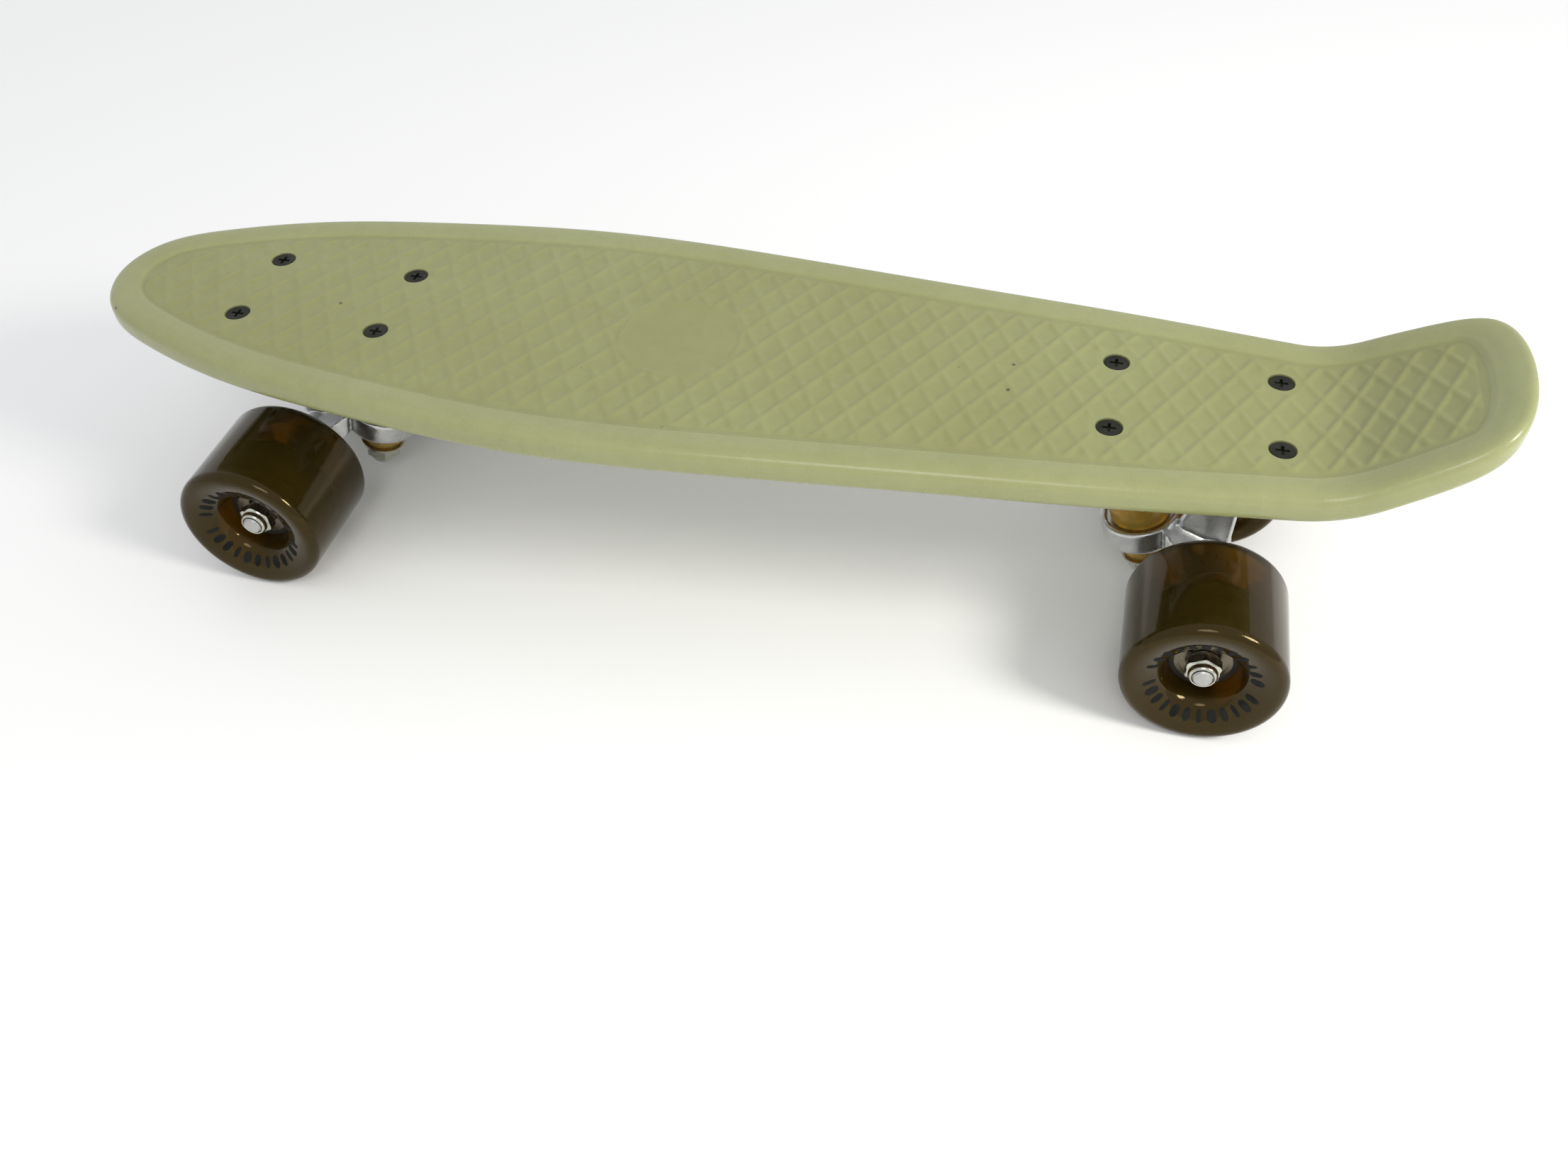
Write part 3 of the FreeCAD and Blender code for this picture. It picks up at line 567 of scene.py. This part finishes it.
def make_panel_skin():
    """The panel's top: a raised lattice of rhombs, a plain disc, and smooth spots at the bolts."""
    spacing, across, inset = 1.0, 112, rim_width + 1.0
    _, first, last = half_width(0.0, inset)
    slope_x = tail_bend_x + tail_bend_radius * math.sin(tail_angle)
    reach = tail_bend_x + tail_bend_radius * tail_angle + (last - slope_x) / math.cos(tail_angle)
    along = np.arange(first + 0.6, reach - 0.6, spacing)
    plan_x = np.array([unrolled(a, 0.0)[0] for a in along])
    widths = half_width(plan_x, inset)[0]
    share = np.linspace(-1, 1, across + 1)
    grid_y = widths[:, None] * share[None, :]
    grid_x = np.repeat(along[:, None], across + 1, 1)
    from_end = np.minimum(along - along[0], along[-1] - along)
    rim_gap = np.minimum(widths[:, None] - np.abs(grid_y), from_end[:, None])
    heights = lattice_height(grid_x, grid_y, rim_gap)
    points, faces = [], []
    count, row = len(along), across + 1
    for i in range(count):
        for j in range(row):
            x, z = unrolled(along[i], heights[i, j])
            points.append((x, grid_y[i, j], z))
    rail = len(points)
    for i in range(count):
        x, z = unrolled(along[i], skin_foot)
        points += [(x, grid_y[i, 0], z), (x, grid_y[i, -1], z)]
    for i in range(count - 1):
        a, b = i * row, (i + 1) * row
        for j in range(across):
            faces.append((a + j, a + j + 1, b + j + 1, b + j))
        left, right = rail + 2 * i, rail + 2 * i + 1
        faces.append((a, b, left + 2, left))
        faces.append((a + across, right, right + 2, b + across))
        faces.append((left, left + 2, right + 2, right))
    last_row = (count - 1) * row
    faces.append(tuple(range(row)) + (rail + 1, rail))
    faces.append(tuple(range(last_row, last_row + row))[::-1] + (rail + 2 * count - 2, rail + 2 * count - 1))
    skin = piece_from("deck_panel_lattice", points, faces, panel_plastic, "board")
    cut_bolt_holes(skin, 60)


def slab_mesh(x0, x1, y0, y1, z0, z1, corner, soft):
    """Upright block with rounded corners, and a softened lower edge."""
    outline = []
    for cx, cy, start in ((x1 - corner, y1 - corner, 0), (x0 + corner, y1 - corner, 90),
                          (x0 + corner, y0 + corner, 180), (x1 - corner, y0 + corner, 270)):
        outline += [((cx, cy), a) for a in np.radians(np.linspace(start, start + 90, 9))]
    levels = [(z0, soft)]
    for a in np.radians((30, 60, 90)):
        levels.append((z0 + soft * (1 - math.cos(a)), soft * (1 - math.sin(a))))
    levels.append((z1, 0.0))
    points, faces = [], []
    for z, inset in levels:
        for (cx, cy), a in outline:
            radius = corner - inset
            points.append((cx + radius * math.cos(a), cy + radius * math.sin(a), z))
    count = len(outline)
    for r in range(len(levels) - 1):
        for k in range(count):
            j = (k + 1) % count
            faces.append((r * count + k, r * count + j, (r + 1) * count + j, (r + 1) * count + k))
    faces.append(tuple(range(count))[::-1])
    faces.append(tuple((len(levels) - 1) * count + k for k in range(count)))
    return points, faces


def make_underside():
    """The two thick pads that the trucks bolt to, and the three ribs between them."""
    pad_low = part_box("front_baseplate")[1].z / MM
    inner = panel_z - floor_depth + underside_overlap
    parts = []
    for x in truck_x.values():
        parts.append(slab_mesh(x - pad_half_length, x + pad_half_length, -pad_half_width, pad_half_width,
                               pad_low, inner, pad_corner, pad_soft))
    rib_from = truck_x["front"] + pad_half_length - rib_overlap
    rib_to = truck_x["rear"] - pad_half_length + rib_overlap
    rib_low = panel_z + rim_rise - edge_thickness
    for y in rib_places:
        parts.append(slab_mesh(rib_from, rib_to, y - rib_half_width, y + rib_half_width,
                               rib_low, inner, rib_corner, rib_soft))
    points, faces = join_parts(parts)
    piece_from("deck_underside_ribs", points, faces, under_plastic, "board", 40)


# ---------------------------------------------------------------- wheels
wheel_low, wheel_high = [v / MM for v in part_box("front_left_wheel")]
wheel_radius = (wheel_high.z - wheel_low.z) / 2
wheel_half = (wheel_high.y - wheel_low.y) / 2
core_low, core_high = [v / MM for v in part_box("front_left_wheel_core")]
core_radius = (core_high.z - core_low.z) / 2
core_half = (core_high.y - core_low.y) / 2
core_chamfer = 3.5
lip_radius = 4.0
face_radius, face_dish, dish_power = 16.5, 4.6, 1.6
well_rim, well_depth = 13.0, 13.5  # the radius and depth that WELL is given for
# wall of the well from the dish down to the core: (radius, depth)
WELL = [(15.6, 5.6), (14.9, 6.9), (14.3, 8.3), (13.8, 9.9), (13.4, 11.4), (13.15, 12.6), (13.0, 13.3),
        (12.8, 13.6)]


def wheel_place(end, side):
    """Maps (a, b, outwards) to the row frame at one wheel."""
    low, high = [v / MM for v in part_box(f"{end}_{side}_wheel")]
    x, y, z = (low + high) / 2
    out = 1 if side == "right" else -1
    return lambda a, b, along: (x + a * out, y + along * out, z + b)


def face_height(radius):
    """Height of the wheel's bowl-shaped outer face over its middle plane."""
    edge = wheel_radius - lip_radius
    share = max(0.0, (edge - radius) / (edge - face_radius))
    return wheel_half - face_dish * share**dish_power


def wheel_profile():
    """Half section of the tyre: tread, round lips, bowl-shaped faces, and the bed that grips the core."""
    flat = wheel_half - lip_radius
    edge = wheel_radius - lip_radius
    rim = core_radius - core_chamfer
    upper = arc_points((edge, flat), lip_radius, 0, 90, 12)
    radii = [edge + (face_radius - edge) * k / 12 for k in range(1, 13)]
    face = [(radius, face_height(radius)) for radius in radii]
    well = [(radius + rim - well_rim, wheel_half - depth * (wheel_half - core_half) / well_depth)
            for radius, depth in WELL]
    bed = [(core_radius - 0.3, core_half - core_chamfer - 0.2)]
    half = upper + face + well + bed
    return half + [(r, -z) for r, z in reversed(half)]


def mark_mesh(place, middle, width, inner, outer):
    """One printed bar: a thin plate that follows the face, with rounded ends."""
    lift, sunk, rows = 0.10, 0.25, 5
    points, faces = [], []
    for level in (lift, -sunk):
        for i in range(rows + 1):
            radius = inner + (outer - inner) * i / rows
            end = abs(2 * i / rows - 1)
            half = width / 2 * math.sqrt(max(0.15, 1 - end**4))
            for side in (-1, 1):
                turn = math.radians(middle) + side * half / radius
                height = face_height(radius) + level
                points.append(place(radius * math.cos(turn), radius * math.sin(turn), height))
    count = 2 * (rows + 1)
    for i in range(rows):
        a = 2 * i
        faces.append((a, a + 1, a + 3, a + 2))
        faces.append((a + count, a + count + 2, a + count + 3, a + count + 1))
        faces.append((a, a + 2, a + count + 2, a + count))
        faces.append((a + 1, a + count + 1, a + count + 3, a + 3))
    faces.append((0, count, count + 1, 1))
    faces.append((count - 2, count - 1, 2 * count - 1, 2 * count - 2))
    return points, faces


def make_marks(end, side):
    """A plain printed ring on the outer face: bars of three widths, with two gaps."""
    place = wheel_place(end, side)
    name = f"{end}_{side}_wheel"
    parts = []
    for k in range(mark_count):
        if k % mark_gap != 0:
            width = MARK_WIDTHS[k % len(MARK_WIDTHS)]
            parts.append(mark_mesh(place, 360 / mark_count * k, width, mark_inner, mark_outer))
    points, faces = join_parts(parts)
    piece_from(f"{name}_marks", points, faces, ink, name, 40)


def make_wheels():
    for end in ENDS:
        for side in SIDES:
            name = f"{end}_{side}_wheel"
            points, faces = lathe_mesh(wheel_profile(), wheel_place(end, side), 160)
            tyre = piece_from(f"{name}_tyre", points, faces, wheel_urethane, name, 60)
            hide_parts(name)
            make_marks(end, side)


# ---------------------------------------------------------------- axle nuts
def hexagon_rings(flats, levels):
    """Rings of a hexagonal prism whose corners are turned down, from (height, turned radius) levels."""
    rings = []
    corner = flats / math.sqrt(3)
    for height, turned in levels:
        ring = []
        for k in range(NUT_STEPS):
            turn = 2 * math.pi * k / NUT_STEPS
            off = (turn + math.pi / 6) % (math.pi / 3) - math.pi / 6
            ring.append((min(corner * math.cos(math.pi / 6) / math.cos(off), turned), turn, height))
        rings.append(ring)
    return rings


def nut_mesh(place, flats, base, height):
    """Lock nut: a hexagon with a domed collar round the axle's end."""
    flat = flats / 2
    corner = flats / math.sqrt(3)
    hexed = height * 0.66
    levels = [(base, flat - 0.4), (base + 0.5, corner - 0.3), (base + 1.0, corner),
              (base + hexed - 0.9, corner), (base + hexed - 0.4, corner - 0.35), (base + hexed, flat - 0.3)]
    rings = hexagon_rings(flats, levels)
    collar = [(flat - 0.75, base + hexed + 0.1), (flat - 0.85, base + height - 1.0),
              (flat - 1.15, base + height - 0.35), (flat - 1.7, base + height),
              (flat - 2.1, base + height - 0.1), (flat - 2.2, base + height - 0.5),
              (flat - 2.2, base + height - 2.0), (nut_bore, base + height - 2.0), (nut_bore, base)]
    for radius, along in collar:
        rings.append([(radius, 2 * math.pi * k / NUT_STEPS, along) for k in range(NUT_STEPS)])
    points, faces = [], []
    for ring in rings:
        for radius, turn, along in ring:
            points.append(place(radius * math.cos(turn), radius * math.sin(turn), along))
    for r in range(len(rings)):
        after = (r + 1) % len(rings)
        a, b = r * NUT_STEPS, after * NUT_STEPS
        for k in range(NUT_STEPS):
            j = (k + 1) % NUT_STEPS
            faces.append((a + k, a + j, b + j, b + k))
    return points, faces


def make_axle_nuts():
    for end in ENDS:
        parts = []
        for side in SIDES:
            base = core_half + washer_thickness
            parts.append(nut_mesh(wheel_place(end, side), nut_flats, base, nut_height))
        points, faces = join_parts(parts)
        nuts = piece_from(f"{end}_lock_nuts", points, faces, zinc, f"{end}_hanger", 35)
        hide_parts(f"{end}_axle_nuts")


# ---------------------------------------------------------------- castings
def make_casting(node, body, voxel, smoothing):
    """A copy of a cast CAD piece, remeshed at voxel metres, with its edges and inside corners softened."""
    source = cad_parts[node]
    mesh = source.data.copy()
    mesh.materials.clear()
    mesh.materials.append(aluminium)
    casting = bpy.data.objects.new(f"{node}_casting", mesh)
    bpy.context.scene.collection.objects.link(casting)
    weld = casting.modifiers.new("weld", "WELD")
    weld.merge_threshold = 0.00001
    remesh = casting.modifiers.new("remesh", "REMESH")
    remesh.mode = "VOXEL"
    remesh.voxel_size = voxel
    soften = casting.modifiers.new("soften", "SMOOTH")
    soften.factor = 0.5
    soften.iterations = smoothing
    bpy.context.view_layer.update()
    result = bpy.data.meshes.new_from_object(casting.evaluated_get(bpy.context.evaluated_depsgraph_get()))
    casting.modifiers.clear()
    casting.data = result
    result.polygons.foreach_set("use_smooth", [True] * len(result.polygons))
    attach(casting, body)
    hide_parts(node)


def make_castings():
    for end in ENDS:
        make_casting(f"{end}_hanger", f"{end}_hanger", voxel=0.0006, smoothing=6)
        make_casting(f"{end}_baseplate", "board", voxel=0.0007, smoothing=5)


# ---------------------------------------------------------------- finishes of the CAD pieces that stay
def finish_cad_pieces():
    finishes = {
        "mount_bolts": black_steel, "mount_nuts": zinc, "kingpin": zinc, "kingpin_nut": zinc,
        "cup_washers": zinc, "pivot_cup": pivot_rubber, "upper_bushing": bushing_urethane,
        "lower_bushing": bushing_urethane, "axle": axle_steel, "inner_races": bearing_steel,
        "bearing_spacers": axle_steel, "speed_washers": zinc, "wheel_core": core_plastic,
        "outer_races": bearing_steel, "bearing_shields": bearing_steel,
        "bearing_balls": bearing_steel, "bearing_cages": cage_plastic,
    }
    for name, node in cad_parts.items():
        for ending, made in finishes.items():
            if name == ending or name.endswith("_" + ending):
                for held in node.material_slots:
                    held.material = made


# ---------------------------------------------------------------- stage, light and camera
def make_stage():
    mesh = bpy.data.meshes.new("floor")
    corners = [(sx * floor_half, sy * floor_half, 0) for sx, sy in ((-1, -1), (1, -1), (1, 1), (-1, 1))]
    mesh.from_pydata(corners, [], [(0, 1, 2, 3)])
    floor = bpy.data.objects.new("floor", mesh)
    bpy.context.scene.collection.objects.link(floor)
    pale = material("floor_paint", (0.92, 0.92, 0.915), 0.8)
    mesh.materials.append(pale)


def make_world():
    """White where the camera sees it, also through clear pieces, and a little dimmer as a light."""
    world = bpy.data.worlds.new("studio")
    bpy.context.scene.world = world
    world.use_nodes = True
    tree = world.node_tree
    for node in list(tree.nodes):
        tree.nodes.remove(node)
    path = add(tree, "ShaderNodeLightPath")
    either = add(tree, "ShaderNodeMath", operation="MAXIMUM")
    tree.links.new(path.outputs["Is Camera Ray"], either.inputs[0])
    tree.links.new(path.outputs["Is Transmission Ray"], either.inputs[1])
    lit = add(tree, "ShaderNodeBackground")
    lit.inputs["Color"].default_value = (0.97, 0.98, 1.0, 1.0)
    lit.inputs["Strength"].default_value = 0.82
    seen = add(tree, "ShaderNodeBackground")
    seen.inputs["Color"].default_value = (1.0, 1.0, 1.0, 1.0)
    seen.inputs["Strength"].default_value = 1.0
    pick = add(tree, "ShaderNodeMixShader")
    tree.links.new(either.outputs["Value"], pick.inputs["Fac"])
    tree.links.new(lit.outputs["Background"], pick.inputs[1])
    tree.links.new(seen.outputs["Background"], pick.inputs[2])
    out = add(tree, "ShaderNodeOutputWorld")
    tree.links.new(pick.outputs["Shader"], out.inputs["Surface"])


def make_lamp(name, place, target, size, power, colour=(1.0, 1.0, 1.0)):
    """A soft round lamp; place, target and size are in metres, power in watts."""
    data = bpy.data.lights.new(name, "AREA")
    data.shape = "DISK"
    data.size = size
    data.energy = power
    data.color = colour
    lamp = bpy.data.objects.new(name, data)
    bpy.context.scene.collection.objects.link(lamp)
    lamp.location = place
    lamp.rotation_mode = "QUATERNION"
    lamp.rotation_quaternion = (Vector(target) - Vector(place)).to_track_quat("-Z", "Y")


def make_camera():
    azimuth, elevation, roll = [math.radians(a) for a in camera_angles]
    level = math.cos(elevation)
    back = Vector((math.sin(azimuth) * level, -math.cos(azimuth) * level, math.sin(elevation)))
    right = (-back).cross(Vector((0, 0, 1))).normalized()
    up = right.cross(-back)
    across = math.cos(roll) * right + math.sin(roll) * up
    upward = -math.sin(roll) * right + math.cos(roll) * up
    data = bpy.data.cameras.new("camera")
    data.sensor_fit = "HORIZONTAL"
    data.sensor_width = camera_sensor
    data.lens = camera_lens
    data.clip_start, data.clip_end = 0.01, 50.0
    camera = bpy.data.objects.new("camera", data)
    bpy.context.scene.collection.objects.link(camera)
    turn = Matrix((across, upward, back)).transposed().to_4x4()
    camera.matrix_world = Matrix.Translation(Vector(camera_place) * MM) @ turn
    bpy.context.scene.camera = camera


make_camera()
make_world()
make_stage()
make_lamp("key", place=(0.95, -0.30, 0.75), target=(0.12, 0.0, 0.05), size=0.35, power=8.5,
          colour=(1.0, 0.97, 0.90))
make_lamp("fill", place=(0.1, -1.0, 1.1), target=(0.05, 0.0, 0.05), size=0.5, power=3.0)
make_deck_shell()
make_panel_skin()
make_underside()
make_wheels()
make_axle_nuts()
make_castings()
finish_cad_pieces()
bpy.context.scene.view_settings.view_transform = "Standard"
